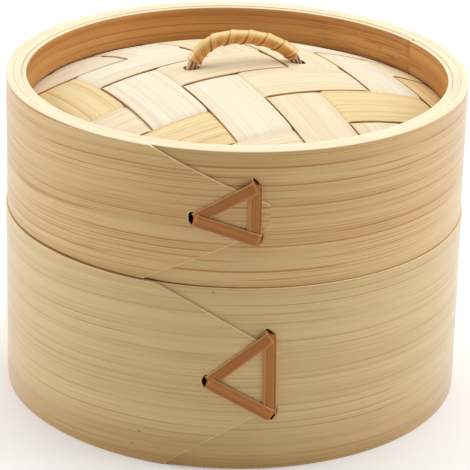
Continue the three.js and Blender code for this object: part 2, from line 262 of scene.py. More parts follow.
# Painted shade: the colour that darkens the walls towards their lower edges, at the basket's foot and above
# the lid's seam.
LOW_SHADE_TINT = (0.80, 0.69, 0.52, 1.0)
SCRATCH_STRENGTH = 0.55
# How strongly the painted highlight round the top of the wrap's winds shows.
TOP_HIGHLIGHT_STRENGTH = 0.72

# The sockets of the Mix node that it uses for colours.
MIX_FACTOR = 0
MIX_FIRST = 6
MIX_SECOND = 7


def node(tree, kind, **inputs):
    """Adds a node and sets its inputs: a value, or another node's output socket to link. set_x sets the
    node's own property x, and i0 is its first input."""
    made = tree.nodes.new(kind)
    for key, value in inputs.items():
        if key.startswith("set_"):
            setattr(made, key[4:], value)
            continue
        socket = made.inputs[int(key[1:])] if key[1:].isdigit() else made.inputs[key.replace("_", " ")]
        connect(tree, socket, value)
    return made


def connect(tree, socket, value):
    if isinstance(value, bpy.types.NodeSocket):
        tree.links.new(value, socket)
    else:
        socket.default_value = value


def rgb(red, green, blue):
    """An sRGB colour from 0 to 255 as Blender's linear RGBA."""
    def linear(c):
        c /= 255
        return c / 12.92 if c <= 0.04045 else ((c + 0.055) / 1.055) ** 2.4
    return (linear(red), linear(green), linear(blue), 1.0)


def math_node(tree, operation, a, b=0.0):
    return node(tree, "ShaderNodeMath", set_operation=operation, i0=a, i1=b).outputs[0]


def multiplied(tree, a, b):
    return math_node(tree, "MULTIPLY", a, b)


def stretched_noise(tree, uv, along, across, detail=2.0, roughness=0.5):
    """Noise drawn out along the strip; along and across are its features per metre."""
    stretched = node(tree, "ShaderNodeMapping", Vector=uv, Scale=(along, across, 1.0))
    return node(
        tree, "ShaderNodeTexNoise", set_noise_dimensions="2D", Vector=stretched.outputs[0],
        Scale=1.0, Detail=detail, Roughness=roughness,
    ).outputs["Fac"]


def ramp(tree, value, low, high):
    """0 at low, 1 at high, smooth between them and level beyond."""
    return node(
        tree, "ShaderNodeMapRange", set_interpolation_type="SMOOTHSTEP", Value=value,
        From_Min=low, From_Max=high, To_Min=0.0, To_Max=1.0,
    ).outputs[0]


def patches(tree, uv, low, high, **noise):
    """Where drawn-out noise is above its levels."""
    return ramp(tree, stretched_noise(tree, uv, **noise), low, high)


def mixed(tree, factor, a, b, blend="MIX"):
    """One colour mixed into another by a factor."""
    mix = tree.nodes.new("ShaderNodeMix")
    mix.data_type = "RGBA"
    mix.blend_type = blend
    connect(tree, mix.inputs[MIX_FACTOR], factor)
    connect(tree, mix.inputs[MIX_FIRST], a)
    connect(tree, mix.inputs[MIX_SECOND], b)
    return mix.outputs[2]


def strip_uv(tree):
    """Metres along and across the strip."""
    return node(tree, "ShaderNodeUVMap", set_uv_map="Strip").outputs[0]


def part_of(tree, uv, axis):
    """The place along (0) or across (1) the strip."""
    return node(tree, "ShaderNodeSeparateXYZ", Vector=uv).outputs[axis]


def contour(tree, uv, width, along, across, count, rate, offset=0.0):
    """Thin lines along the strip; width is half a line's width as a share of the lines' spacing."""
    field = multiplied(tree, stretched_noise(tree, uv, along, across, detail=1.0), count)
    even = multiplied(tree, part_of(tree, uv, 1), rate)
    wandering = math_node(tree, "ADD", field, even)
    wave = math_node(tree, "PINGPONG", math_node(tree, "ADD", wandering, offset), 0.5)
    return ramp(tree, wave, width, width * 0.25)


def new_material(name):
    """A material with its tree and its shader."""
    material = bpy.data.materials.new(name)
    material.use_nodes = True
    return material, material.node_tree, material.node_tree.nodes["Principled BSDF"]


def mix_into_base(material, factor, colour):
    """Mixes one more colour over what the material's base colour is linked to."""
    tree = material.node_tree
    target = tree.nodes["Principled BSDF"].inputs["Base Color"]
    tree.links.new(mixed(tree, factor, target.links[0].from_socket, colour), target)


def bamboo(
    name, base, pale, streak, lines=0.5, warm=0.3, flecks=0.0, low_shade=None,
    roughness=0.55, bump=0.25, sheen=0.0, scale=1.0,
):
    """Split bamboo: fine fibres, thin dark bundle lines with paler ones beside them, and slow changes of
    tone. An optional pair of places across the strip, in metres, gives where painted shade, a darkening of
    its lower edge, begins and is full."""
    material, tree, shader = new_material(name)
    uv = strip_uv(tree)
    if scale != 1.0:
        uv = node(tree, "ShaderNodeMapping", Vector=uv, Scale=(scale, scale, 1.0)).outputs[0]
    fibre = stretched_noise(tree, uv, **FIBRE)
    dark = contour(tree, uv, width=0.13, **BUNDLES)
    dark = multiplied(tree, dark, patches(tree, uv, **BUNDLE_PATCHES))
    light = contour(tree, uv, width=0.14, offset=0.2, **BUNDLES)
    fine = contour(tree, uv, width=0.17, offset=0.1, **FINE_BUNDLES)
    fine = multiplied(tree, fine, patches(tree, uv, **FINE_PATCHES))
    colour = mixed(tree, patches(tree, uv, **TONE), base, pale)
    colour = mixed(tree, multiplied(tree, patches(tree, uv, **WARM_STREAKS), warm), colour, streak)
    colour = mixed(tree, multiplied(tree, light, lines * LIGHT_LINES), colour, pale)
    colour = mixed(tree, multiplied(tree, fine, lines * FINE_LINES), colour, streak)
    colour = mixed(tree, multiplied(tree, dark, lines), colour, streak)
    colour = mixed(tree, 1.0, colour, by_fibre(tree, fibre, *FIBRE_SHADE), "MULTIPLY")
    # Painted shade: darker towards the strip's lower edge.
    if low_shade:
        shaded_colour = mixed(tree, 1.0, colour, LOW_SHADE_TINT, "MULTIPLY")
        colour = mixed(tree, ramp(tree, part_of(tree, uv, 1), *low_shade), colour, shaded_colour)
    if flecks:
        colour = mixed(tree, multiplied(tree, fleck_dots(tree, uv), flecks), colour, rgb(96, 66, 38))
    tree.links.new(colour, shader.inputs["Base Color"])
    shader.inputs["Sheen Weight"].default_value = sheen
    shader.inputs["Sheen Roughness"].default_value = 0.4
    shader.inputs["Specular IOR Level"].default_value = 0.45
    smoother, rougher = FIBRE_ROUGHNESS
    rough = by_fibre(tree, fibre, roughness + smoother, roughness + rougher)
    tree.links.new(rough, shader.inputs["Roughness"])
    relief = math_node(tree, "SUBTRACT", fibre, multiplied(tree, dark, 0.8))
    bumped = node(tree, "ShaderNodeBump", Height=relief, Strength=bump, Distance=RELIEF_DEPTH)
    tree.links.new(bumped.outputs[0], shader.inputs["Normal"])
    return material


def by_fibre(tree, fibre, low, high):
    """A value that goes from low to high with the finest fibres."""
    return node(
        tree, "ShaderNodeMapRange", Value=fibre,
        From_Min=FIBRE_LOW, From_Max=FIBRE_HIGH, To_Min=low, To_Max=high,
    ).outputs[0]


def fleck_dots(tree, uv):
    """Small round spots in some of the cells of a grid."""
    spots = node(tree, "ShaderNodeMapping", Vector=uv, Scale=FLECK_GRID).outputs[0]
    cells = node(tree, "ShaderNodeTexVoronoi", set_voronoi_dimensions="2D", Vector=spots, Scale=1.0)
    dots = ramp(tree, cells.outputs["Distance"], *FLECK_EDGE)
    return multiplied(tree, dots, patches(tree, uv, **FLECK_PATCHES))


def scuffed(material, colour, low, high):
    """Adds short dark scratches to a bamboo material between two places along the strip, in metres."""
    tree = material.node_tree
    uv = strip_uv(tree)
    place = part_of(tree, uv, 0)
    short = patches(tree, uv, **SHORT_SCRATCHES)
    marks = math_node(tree, "MAXIMUM", short, patches(tree, uv, **LONG_SCRATCHES))
    zone = multiplied(tree, ramp(tree, place, low, low + 0.004), ramp(tree, place, high, high - 0.03))
    mix_into_base(material, multiplied(tree, multiplied(tree, marks, zone), SCRATCH_STRENGTH), colour)


def painted_top_highlight(material, colour):
    """Paints a highlight on the wound cane: a paler colour round the top of each wind, standing in for light.
    """
    tree = material.node_tree
    turn = multiplied(tree, part_of(tree, strip_uv(tree), 0), 1 / (WRAP_RUN * MM))
    upward = math_node(tree, "COSINE", turn)
    mix_into_base(material, multiplied(tree, ramp(tree, upward, -0.1, 1.0), TOP_HIGHLIGHT_STRENGTH), colour)


def end_grain(name, base, dark):
    """The cut edge of split bamboo, with the fine dots and lines of cut fibre bundles."""
    material, tree, shader = new_material(name)
    uv = strip_uv(tree)
    lines = stretched_noise(tree, uv, **CUT_FIBRE)
    colour = mixed(tree, multiplied(tree, patches(tree, uv, **CUT_TONE), 0.35), base, dark)
    colour = mixed(tree, multiplied(tree, ramp(tree, lines, 0.55, 0.75), 0.3), colour, dark)
    tree.links.new(colour, shader.inputs["Base Color"])
    shader.inputs["Roughness"].default_value = 0.6
    bumped = node(tree, "ShaderNodeBump", Height=lines, Strength=0.25, Distance=CUT_RELIEF_DEPTH)
    tree.links.new(bumped.outputs[0], shader.inputs["Normal"])
    return material


def hoop_bamboo(name):
    return bamboo(name, rgb(190, 128, 60), rgb(202, 146, 78), rgb(146, 84, 28), lines=0.5, warm=0.35)


def woven_bamboo(tone, base, pale, streak, lines, bump=0.2):
    name = "woven strip " + tone
    return bamboo(name, base, pale, streak, lines=lines, warm=lines, roughness=0.5, bump=bump)


def lacing_cane(name, base, pale, streak):
    return bamboo(name, base, pale, streak, lines=0.7, warm=0.6, roughness=0.42, bump=0.35, scale=1.6)


# Both walls are painted darker towards their lower edges: painted shade at the basket's foot and over the
# lid's seam.
WALL = bamboo(
    "bamboo wall", rgb(197, 167, 114), rgb(206, 177, 125), rgb(168, 120, 34), lines=0.42, warm=0.1,
    flecks=0.6, low_shade=(0.019, 0.001), sheen=0.75,
)
WALL_LID = bamboo(
    "bamboo lid wall", rgb(195, 157, 99), rgb(205, 171, 114), rgb(172, 112, 18), lines=0.85, warm=0.16,
    low_shade=((LID_LOW[2] + 5) * MM, LID_LOW[2] * MM), sheen=0.7,
)
HOOP = hoop_bamboo("bamboo hoop")
LID_HOOP = hoop_bamboo("bamboo lid hoop")
# Beside the joint at its back right, the lid's hoop is scratched.
scuffed(LID_HOOP, rgb(124, 70, 28), 0.566, 0.625)
EDGE = end_grain("bamboo cut edge", rgb(238, 224, 192), rgb(218, 192, 146))
# The walls' and hoops' lower edges are darker: painted shade, partly wear.
SHADED_LOW_EDGE = end_grain("bamboo lower edge, painted shade and wear", rgb(190, 146, 90), rgb(146, 98, 48))
LAP_EDGE = end_grain("bamboo tongue edge", rgb(230, 201, 150), rgb(192, 148, 90))
# The basket's covered rim edge is darker and browner than a cut edge: painted shade in the seam under the
# lid.
SEAM_SHADED_EDGE = end_grain("bamboo covered edge, painted seam shade", rgb(214, 174, 116), rgb(164, 114, 60))
# The inside of each lacing hole is coloured dark: painted shade.
HOLE_SHADE = end_grain("inside of a hole, painted shade", rgb(92, 58, 30), rgb(48, 28, 14))
PALE = woven_bamboo("pale", rgb(229, 215, 187), rgb(236, 226, 203), rgb(214, 186, 136), lines=0.3)
CREAM = woven_bamboo("cream", rgb(227, 210, 172), rgb(235, 221, 188), rgb(210, 174, 114), lines=0.4)
YELLOW = woven_bamboo(
    "yellow", rgb(224, 197, 139), rgb(233, 210, 159), rgb(200, 148, 72), lines=0.5, bump=0.25,
)
# The woven strips' cut edges are darker and browner than cut bamboo: painted shade in the gaps between strips
# and in the legs' slots.
GAP_SHADED_WEAVE_EDGE = end_grain("woven strip edge, painted gap shade", rgb(196, 146, 84), rgb(140, 88, 40))
SLAT = bamboo("floor slat", rgb(214, 174, 112), rgb(228, 196, 140), rgb(174, 122, 60))
LACE = lacing_cane("cane lacing", rgb(156, 90, 16), rgb(176, 110, 28), rgb(96, 46, 8))
LACE_YELLOW = lacing_cane("cane lacing yellow", rgb(164, 102, 22), rgb(184, 122, 36), rgb(108, 58, 12))
LACE_EDGE = end_grain("cane edge", rgb(200, 146, 92), rgb(146, 90, 46))
WRAP = bamboo(
    "handle wrap", rgb(198, 122, 32), rgb(228, 172, 82), rgb(156, 80, 14), lines=0.5, warm=0.8,
    roughness=0.32, bump=0.2, scale=1.4,
)
WRAP.node_tree.nodes["Principled BSDF"].inputs["Coat Weight"].default_value = 0.5
WRAP.node_tree.nodes["Principled BSDF"].inputs["Coat Roughness"].default_value = 0.25
# Painted highlight: the wrap is paler round the top of each wind.
painted_top_highlight(WRAP, rgb(244, 212, 138))
WRAP_EDGE = end_grain("wrap edge", rgb(170, 112, 54), rgb(110, 64, 26))
CORE = bamboo(
    "handle strand", rgb(208, 152, 98), rgb(230, 184, 134), rgb(120, 64, 28), lines=0.4, warm=0.4,
    roughness=0.5, bump=0.3,
)
CORE_EDGE = end_grain("handle strand edge", rgb(234, 200, 156), rgb(160, 100, 60))

# The tone of each woven strip, from the first to the eighth.
WARP_TONES = [CREAM, CREAM, YELLOW, CREAM, CREAM, PALE, PALE, CREAM]
WEFT_TONES = [CREAM, YELLOW, PALE, PALE, CREAM, CREAM, PALE, YELLOW]

# ---- mesh code ----

# The sides of section(), with three steps, that are on its lower edge, and those of its upper outer corner
# when its broad faces are split in six.
LOWER_EDGE = slice(-7, None)
UPPER_CORNER = slice(12, 15)
# A corner's radius at most, as a share of the strip's width or thickness.
ROUNDEST = 0.49


def section(width, depth, radius, across=1, steps=3):
    """Points round a flat strip's section with rounded corners, as rows of (across, through), and for each
    side between two points 0 on a broad face and 1 on an edge. across splits each broad face, with one more
    narrow side next to each corner."""
    radius = min(radius, width * ROUNDEST, depth * ROUNDEST)
    support = min(radius * 0.6, (width - 2 * radius) * 0.2)
    inner = [radius, radius + support]
    inner += [radius + support + (width - 2 * radius - 2 * support) * k / across for k in range(1, across)]
    inner += [width - radius - support, width - radius]
    corner = [math.radians(90 * k / steps) for k in range(1, steps)]
    points = [(v, 0.0) for v in inner]
    kinds = [0] * (len(inner) - 1)
    points += [(width - radius + radius * math.sin(a), radius - radius * math.cos(a)) for a in corner]
    points += [(width, radius), (width, depth - radius)]
    points += [(width - radius + radius * math.cos(a), depth - radius + radius * math.sin(a)) for a in corner]
    kinds += [1] * (2 * steps + 1)
    points += [(v, depth) for v in reversed(inner)]
    kinds += [0] * (len(inner) - 1)
    points += [(radius - radius * math.sin(a), depth - radius + radius * math.cos(a)) for a in corner]
    points += [(0.0, depth - radius), (0.0, radius)]
    points += [(radius - radius * math.cos(a), radius - radius * math.sin(a)) for a in corner]
    kinds += [1] * (2 * steps + 1)
    return np.array(points), kinds


def in_scene(name, data):
    """A new object of the scene."""
    made = bpy.data.objects.new(name, data)
    bpy.context.scene.collection.objects.link(made)
    return made


def loft(name, rings, strip, kinds, materials):
    """A closed skin through rings of points, in millimetres about the walls' axis. strip holds each point's
    place along and across the strip, which becomes the UV layer Strip in metres. kinds picks the material
    of each side round a ring, for all rings alike or for each ring. The caps have the second material."""
    rings = np.asarray(rings, float)
    count, size = rings.shape[:2]
    points = rings.reshape(-1, 3) * MM + np.array([0.0, AXIS_Y * MM, 0.0])
    ring = np.arange(size)
    following = (ring + 1) % size
    first = np.arange(count - 1)[:, None] * size
    second = first + size
    quads = np.stack([first + ring, first + following, second + following, second + ring], axis=-1)
    faces = quads.reshape(-1, 4).tolist() + [ring.tolist(), (ring + (count - 1) * size).tolist()]
    mesh = bpy.data.meshes.new(name)
    mesh.from_pydata(points.tolist(), [], faces)
    corners = np.fromiter((v for face in faces for v in face), int)
    flat = np.asarray(strip, float).reshape(-1, 2)[corners] * MM
    mesh.uv_layers.new(name="Strip").data.foreach_set("uv", flat.astype(np.float32).ravel())
    sides = np.broadcast_to(np.asarray(kinds), (count - 1, size)).ravel().tolist()
    mesh.polygons.foreach_set("material_index", sides + [1, 1])
    mesh.polygons.foreach_set("use_smooth", [True] * (len(faces) - 2) + [False, False])
    for material in materials:
        mesh.materials.append(material)
    made = in_scene(name, mesh)
    point_outwards(made)
    return made


def point_outwards(made):
    """Turns the faces outwards if the closed skin was made inside out."""
    mesh = made.data
    mesh.calc_loop_triangles()
    corners = np.array([mesh.vertices[v].co for t in mesh.loop_triangles for v in t.vertices])
    corners = corners.reshape(-1, 3, 3)
    volume = np.einsum("ij,ij->i", corners[:, 0], np.cross(corners[:, 1], corners[:, 2])).sum()
    if volume < 0:
        mesh.flip_normals()
    mesh.update()


def strip_rows(along, across):
    """Places along and across a strip as rows. Either may be one place for them all."""
    return np.stack(np.broadcast_arrays(along, across), axis=-1)


def on_cylinder(azimuth, radius, z):
    """Points at azimuths in degrees, about the walls' axis."""
    a = np.radians(azimuth)
    return np.stack([radius * np.sin(a), -radius * np.cos(a), z + 0 * a], axis=-1)


def distances(path):
    """How far along the path each of its points is."""
    return np.concatenate([[0], np.cumsum(np.linalg.norm(np.diff(path, axis=0), axis=1))])


def directions(path):
    """The path's direction at each of its points."""
    slope = np.gradient(path, axis=0)
    return slope / np.linalg.norm(slope, axis=1)[:, None]


def apply_modifiers(made):
    """Replaces the object's mesh by what its modifiers make of it."""
    graph = bpy.context.evaluated_depsgraph_get()
    mesh = bpy.data.meshes.new_from_object(made.evaluated_get(graph))
    made.modifiers.clear()
    made.data = mesh


def cut_away(made, tools):
    """Cuts each tool, a closed object, out of made, and removes the tools."""
    for tool in tools:
        cut = made.modifiers.new("cut", "BOOLEAN")
        cut.operation = "DIFFERENCE"
        cut.solver = "EXACT"
        cut.material_mode = "TRANSFER"
        cut.object = tool
    apply_modifiers(made)
    made.data.set_sharp_from_angle(angle=math.radians(35))
    for tool in tools:
        bpy.data.objects.remove(tool)
    return made


def joined(name, parts):
    """Several objects as one, under one name."""
    bpy.ops.object.select_all(action="DESELECT")
    for part in parts:
        part.select_set(True)
    bpy.context.view_layer.objects.active = parts[0]
    bpy.ops.object.join()
    parts[0].name = name
    return parts[0]


def placed(made, body, node_name):
    """The piece rides on its body and stands for its CAD node, which is hidden."""
    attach(made, body)
    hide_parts(node_name)


# ---- walls ----


def smooth(t):
    """Eases from 0 to 1 as t goes from 0 to 1, and is level beyond."""
    t = min(1.0, max(0.0, t))
    return t * t * (3 - 2 * t)


def from_front(azimuth):
    """The same azimuth between -180 and 180."""
    return (azimuth + 180) % 360 - 180


def step_out(azimuth):
    """How far the strip has stepped out over its start, from 0 to 1."""
    return smooth((azimuth - STEP_FROM) / (STEP_TO - STEP_FROM))


def wind_radius(wall, azimuth):
    """Inner face of the wound strip, stepping out as it laps its thin start and then the first turn."""
    first, second = step_out(azimuth - 360), step_out(azimuth - 720)
    return wall["inner"] + (wall["ply"] + PLY_GAP) * first + (wall["ply"] + SHOWN_GAP) * second


def wind_thickness(wall, azimuth):
    """Thin at the start, full through both turns, then shaved thinner towards the lapped end."""
    second = step_out(azimuth - 360)
    full = wall["ply"] + (PLY_GAP - SHOWN_GAP) * (1 - second)
    start = min(full, max(THINNEST, (wall["ply"] + PLY_GAP) * step_out(azimuth) - SHOWN_GAP))
    shaved = smooth((azimuth - 720 - LAP_THIN_FROM) / (LAP_THIN_TO - LAP_THIN_FROM))
    return start + (LAP_THICKNESS - full) * shaved


def lap_face(wall):
    """Radius of the lapped end's outer face where it is thinnest."""
    return wind_radius(wall, 720) + LAP_THICKNESS


def tongue_edge(azimuth, edge, tip, level):
    """Height of the lapped end's edge: level up to its root, then falling to the blunt tip."""
    root, tip_level, power = edge
    t = min(1.0, max(0.0, (azimuth - root - 720) / (tip - root)))
    return level + (tip_level - level) * t**power


def hole_cutter(wall, azimuth, z, tilt, surface, along, across):
    """A slightly uneven oval bar through the wall, flared at the surface. tilt turns its short axis from
    level, and along and across are half its two widths."""
    angles = np.linspace(0, 2 * math.pi, 24, endpoint=False)
    c, s = math.cos(math.radians(tilt)), math.sin(math.radians(tilt))
    rings, strip = [], []
    depths = ((wall["inner"] - 4, 0.0), (surface - LIP, 0.0), (surface + 0.03, LIP), (surface + 4, LIP + 0.4))
    for radius, flare in depths:
        uneven = 1 + 0.07 * np.sin(2 * angles + azimuth) + 0.05 * np.sin(5 * angles + z)
        a, b = (along + flare) * uneven * np.cos(angles), (across + flare) * uneven * np.sin(angles)
        sideways = c * a - s * b
        rings.append(on_cylinder(azimuth + np.degrees(sideways / surface), radius, z + s * a + c * b))
        strip.append(strip_rows(angles * 2, radius))
    made = loft("cutter", rings, strip, [0] * len(angles), [LAP_EDGE, HOLE_SHADE])
    # The first band of faces, below the flare, is the inside of the hole, coloured dark as painted shade.
    for face in made.data.polygons[:len(angles)]:
        face.material_index = 1
    return made


def lacing_holes(wall):
    """Cutters for the three holes, each across the cane that ends in it and a little beyond its end."""
    left, *others = wall["holes"]
    face = lap_face(wall)
    shift, along, across = wall["slits"][0]
    cutters = [hole_cutter(wall, left[0] - math.degrees(shift / face), left[1], 0.0, face, along, across)]
    surface = wind_radius(wall, 360) + wall["ply"]
    for (azimuth, z), (shift, along, across) in zip(others, wall["slits"][1:]):
        tilt = math.atan2(z - left[1], math.radians(azimuth - left[0]) * face)
        azimuth += math.degrees(shift * math.cos(tilt) / face)
        z += shift * math.sin(tilt)
        cutters.append(hole_cutter(wall, azimuth, z, math.degrees(tilt), surface, along, across))
    return cutters


def wound_wall(name, wall, bulge, material, rim, corner):
    """The wall: one strip wound twice, with its end cut to a tongue. bulge(azimuth) moves the bottom edge.
    rim is the material of the top edge, and corner says which of the wall's materials its outer corner has:
    1 the rim's, or 3 the tongue's, whose pale colour there is a painted highlight."""
    tip = wall["tongue"]["tip"]
    knots = [wall["tongue"]["top"][0] + 720, wall["tongue"]["bottom"][0] + 720]
    end = tip + 720
    even = np.arange(WIND_START, end - 1.0, WALL_STEP)
    clear = [a for a in even if min(abs(a - k) for k in knots) > 0.5]
    stations = sorted(clear + knots + [end - 1.0, end - 0.5, end - 0.2, end])
    rings, strip, sides = [], [], []
    for azimuth in stations:
        rounding = TIP_ROUNDING * max(0.0, 1 - 2 * (end - azimuth)) ** 2
        low = tongue_edge(azimuth, wall["tongue"]["bottom"], tip, wall["low"] + bulge(azimuth)) + rounding
        high = tongue_edge(azimuth, wall["tongue"]["top"], tip, wall["high"]) - rounding
        outline, kinds = section(high - low, wind_thickness(wall, azimuth), STRIP_CORNER, across=6)
        kinds = np.array(kinds)
        kinds[UPPER_CORNER] = corner
        if azimuth > knots[0]:
            kinds[kinds == 1] = 3
        # Up to the tongue, the lower edge is darker: painted shade, partly wear.
        if azimuth < knots[1]:
            kinds[LOWER_EDGE] = 2
        sides.append(kinds)
        radius = wind_radius(wall, azimuth) + outline[:, 1]
        rings.append(on_cylinder(np.full(len(outline), azimuth), radius, low + outline[:, 0]))
        run = math.radians(azimuth) * wall["inner"]
        strip.append(strip_rows(run, low + outline[:, 0] + outline[:, 1]))
    made = loft(name, rings, strip, sides[:-1], [material, rim, SHADED_LOW_EDGE, LAP_EDGE])
    return cut_away(made, lacing_holes(wall))


def retaining_hoop(node_name, material, joint, outer, thick, pressed, level):
    """A strip bent round inside the wall, its ends meeting at joint, pressed in a little behind the
    lacing."""
    low, high = box_mm(node_name)
    ends = (joint - 360 + JOINT_GAP, joint - JOINT_GAP)
    stations = [ends[0], *np.arange(ends[0] + 0.15, ends[1] - 0.14, HOOP_STEP), ends[1]]
    outline, kinds = section(high[2] - low[2], thick, STRIP_CORNER, across=8)
    # The hoop's lower edge is darker: painted shade.
    kinds[LOWER_EDGE] = [2] * len(kinds[LOWER_EDGE])
    rings, strip = [], []
    for azimuth in stations:
        front = from_front(azimuth)
        shape = squeezed(outline) if azimuth in ends else outline
        z = low[2] + shape[:, 0]
        fade = np.array([1 - smooth((height - level) / DENT["fade"]) for height in z])
        rise = smooth((front - DENT["from"]) / DENT["ramp"])
        fall = smooth((DENT["to"] - front) / DENT["ramp"])
        radius = outer - thick - pressed * rise * fall * fade + shape[:, 1]
        rings.append(on_cylinder(np.full(len(shape), azimuth), radius, z))
        strip.append(strip_rows(math.radians(azimuth) * outer + HOOP_GRAIN * joint, z + shape[:, 1]))
    return loft(node_name + "_skin", rings, strip, kinds, [material, EDGE, SHADED_LOW_EDGE])


def squeezed(outline, amount=0.2, least=0.02):
    """The section drawn in towards its middle, for the rounded end of a strip."""
    middle = (outline.max(axis=0) + outline.min(axis=0)) / 2
    offset = outline - middle
    return middle + np.sign(offset) * np.maximum(np.abs(offset) - amount, least)


def seam_gap(azimuth):
    """The lid's bottom edge stands a little off the basket at the front left, and touches it elsewhere."""
    return -0.25 + 0.65 * math.exp(-(((from_front(azimuth) + 45) / 34) ** 2))


def build_walls():
    # The basket's upper outer corner takes the tongue's pale edge colour: a painted highlight below the seam.
    wall = wound_wall("basket_wall_skin", BASKET, lambda azimuth: 0.0, WALL, SEAM_SHADED_EDGE, 3)
    placed(wall, "basket", "basket_outer_hoop")
    wall = wound_wall("lid_wall_skin", LID, seam_gap, WALL_LID, EDGE, 1)
    placed(wall, "lid", "lid_outer_hoop")
    for node_name, shape in HOOPS.items():
        material = LID_HOOP if node_name == "lid_upper_hoop" else HOOP
        hoop = retaining_hoop(node_name, material, **shape)
        if node_name == "basket_floor_ring":
            cut_away(hoop, [batten_notch(side) for side in ("left", "right")])
        placed(hoop, node_name.split("_")[0], node_name)


# ---- floor ----


def flat_strip(name, centre, along_x, low_z, width, thickness, half=None):
    """A straight level strip, half long on either side, or else with its ends cut to the round of the
    wall."""
    outline, kinds = section(width, thickness, FLOOR_CORNER, across=3)
    sideways = centre - width / 2 + outline[:, 0]
    if half is None:
        limit = np.sqrt(np.maximum(FLOOR_END**2 - sideways**2, 1.0))
    else:
        limit = np.full(len(sideways), half)
    rings, strip = [], []
    for t in (-1.0, -0.997, *np.linspace(-0.95, 0.95, 39), 0.997, 1.0):
        shape = squeezed(outline) if abs(t) == 1.0 else outline
        across = centre - width / 2 + shape[:, 0]
        x, y = (limit * t, across) if along_x else (across, limit * t)
        rings.append(np.stack([x, y, low_z + shape[:, 1]], axis=-1))
        strip.append(strip_rows(limit * t + FLOOR_GRAIN * centre, shape[:, 0] + shape[:, 1]))
    return loft(name, rings, strip, kinds, [SLAT, SLAT])


def batten_notch(side):
    """The room that a batten takes out of the floor ring."""
    low, high = box_mm("batten_" + side)
    width = high[0] - low[0] + NOTCH_SIDE
    centre = (low[0] + high[0]) / 2
    height = high[2] - low[2] + NOTCH_HEIGHT
    return flat_strip("cutter", centre, False, low[2] - NOTCH_BELOW, width, height, half=75.0)


def build_floor():
    for k in range(1, SLAT_COUNT + 1):
        low, high = box_mm(f"slat_{k}")
        centre = (low[1] + high[1]) / 2 - AXIS_Y
        width = high[1] - low[1] - 0.1
        slat = flat_strip(f"slat_{k}_skin", centre, True, low[2], width, high[2] - low[2])
        placed(slat, "basket", f"slat_{k}")
    for side in ("left", "right"):
        low, high = box_mm("batten_" + side)
        centre = (low[0] + high[0]) / 2
        size = high - low
        batten = flat_strip(f"batten_{side}_skin", centre, False, low[2], size[0], size[2])
        placed(batten, "basket", "batten_" + side)


# ---- woven dome ----


def dome(x, y):
    """Height of the dome's middle surface."""
    return DOME["edge"] + DOME["rise"] * (1 - (x * x + y * y) / DOME["radius"] ** 2)


def warp_is_over(warp, weft):
    """The 2/2 twill: whether this warp strip lies over this weft strip."""
    return (warp + weft) % 4 < 2


def twill_lift(along, first_edge, is_over):
    """How far a strip stands over (+) or under (-) the dome, easing where it changes sides."""
    place = (along - first_edge) / WEAVE["pitch"]
    cell = np.floor(place).astype(int)
    nearest = np.round(place).astype(int)
    here = np.array([1.0 if is_over(c) else -1.0 for c in cell])
    before = np.array([1.0 if is_over(c - 1) else -1.0 for c in nearest])
    after = np.array([1.0 if is_over(c) else -1.0 for c in nearest])
    t = np.clip((place - nearest) * WEAVE["pitch"] / WEAVE["bend"] + 0.5, 0, 1)
    eased = before + (after - before) * t * t * (3 - 2 * t)
    near = np.abs(place - nearest) * WEAVE["pitch"] < WEAVE["bend"] / 2
    return WEAVE["lift"] * np.where(near, eased, here)


def dome_strip(name, along_x, centre, width, thickness, end_radius, height, materials):
    """A strip over the dome, its ends cut to a circle. height(along, sideways) is the height of its
    underside, and the strip runs along the warp if along_x."""
    outline, kinds = section(width, thickness, thickness * 0.35, across=8, steps=2)
    reach = end_radius - 0.05
    low = max(centre - width / 2, -reach)
    high = min(centre + width / 2, reach)
    sideways = low + outline[:, 0] * (high - low) / width
    limit = np.sqrt(end_radius**2 - sideways**2)
    rings, strip = [], []
    for t in np.linspace(-1, 1, WEAVE["rings"]):
        along = limit * t
        x, y = (along, sideways) if along_x else (sideways, along)
        c, s = math.cos(WEAVE["angle"]), math.sin(WEAVE["angle"])
        z = height(along, sideways) + outline[:, 1]
        rings.append(np.stack([c * x - s * y, s * x + c * y, z], axis=-1))
        strip.append(strip_rows(along + WEAVE_GRAIN * centre, sideways + outline[:, 1]))
    return loft(name, rings, strip, kinds, materials)


def woven_strip(name, along_x, centre, first_edge, is_over, material):
    """One strip of the twill, a little crowned, its edges not quite even."""
    width = WEAVE["strip"] + RANDOM.uniform(-0.3, 0.1)
    centre += RANDOM.uniform(-0.08, 0.08)
    wave = RANDOM.uniform(0, 2 * math.pi, 2)

    def height(along, sideways):
        u = (sideways - centre) / (width / 2)
        crown = WEAVE["crown"] * (1 - u * u)
        curl = crown + 0.06 * u * np.sin(along / 9 + wave[0]) * np.sin(along / 23 + wave[1])
        return dome(along, sideways) + twill_lift(along, first_edge, is_over) + curl - WEAVE["thickness"] / 2

    materials = [material, GAP_SHADED_WEAVE_EDGE]
    return dome_strip(name, along_x, centre, width, WEAVE["thickness"], WEAVE["end"], height, materials)


def leg_slots():
    """Cutters with well rounded corners where the handle's legs pass through the weave, with room for it to
    lean."""
    tools = []
    angles = np.linspace(0, 2 * math.pi, 20, endpoint=False)
    c, s = np.cos(angles), np.sin(angles)
    foot = HANDLE["foot"] - SLOT["inward"]
    for side in (-1, 1):
        x = side * foot + SLOT["length"] * np.sign(c) * np.abs(c) ** SLOT["power"]
        y = SLOT["width"] * np.sign(s) * np.abs(s) ** SLOT["power"]
        heights = (DOME["edge"], DOME["edge"] + SLOT["height"])
        rings = [handle_to_world(np.stack([x, y, z + 0 * x], axis=-1)) for z in heights]
        strip = np.zeros((len(rings), len(angles), 2))
        tools.append(loft("cutter", rings, strip, [0] * len(angles), [GAP_SHADED_WEAVE_EDGE, GAP_SHADED_WEAVE_EDGE]))
    return tools


